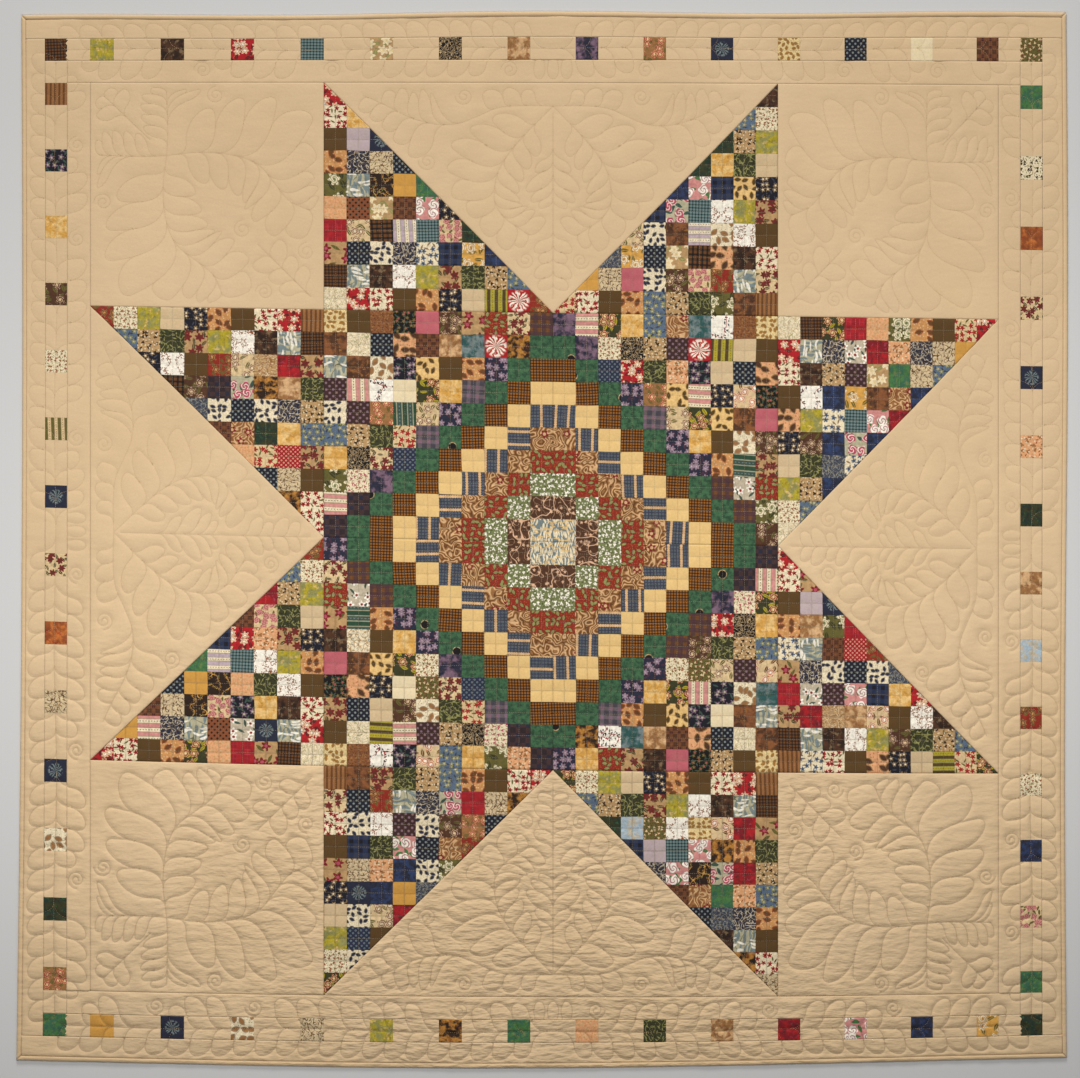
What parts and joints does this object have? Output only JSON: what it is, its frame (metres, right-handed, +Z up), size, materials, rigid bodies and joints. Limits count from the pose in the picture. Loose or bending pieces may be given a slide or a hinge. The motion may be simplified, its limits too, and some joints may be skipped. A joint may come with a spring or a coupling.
{
  "type": "pieced star quilt",
  "caption": "Large square quilt lying open: an eight-pointed star of small cotton squares on tan cloth, pieced border, feather quilting and bound edge.",
  "frame": {"origin": "middle of the quilt's underside", "axes": "+Z up from the underside to the quilted top, +Y towards the edge that is uppermost in the picture, +X to its right"},
  "size_m": [2.3521, 2.3636, 0.0059],
  "materials": {
    "patchwork": "matte printed cotton, small squares of many prints",
    "ground": "matte tan cotton, quilted",
    "binding": "matte tan cotton, folded edge"
  },
  "bodies": {
    "root": {"star_center": "patchwork", "star_point_1": "patchwork", "star_point_2": "patchwork", "star_point_3": "patchwork", "star_point_4": "patchwork", "star_point_5": "patchwork", "star_point_6": "patchwork", "star_point_7": "patchwork", "star_point_8": "patchwork", "corner_square_1": "ground", "corner_square_2": "ground", "corner_square_3": "ground", "corner_square_4": "ground", "side_triangle_1": "ground", "side_triangle_2": "ground", "side_triangle_3": "ground", "side_triangle_4": "ground", "plain_strip_1": "ground", "plain_strip_2": "ground", "plain_strip_3": "ground", "plain_strip_4": "ground", "pieced_strip_1": "ground", "pieced_strip_2": "ground", "pieced_strip_3": "ground", "pieced_strip_4": "ground", "last_strip_1": "ground", "last_strip_2": "ground", "last_strip_3": "ground", "last_strip_4": "ground", "binding_1": "binding", "binding_2": "binding", "binding_3": "binding", "binding_4": "binding"}
  },
  "joints": []
}
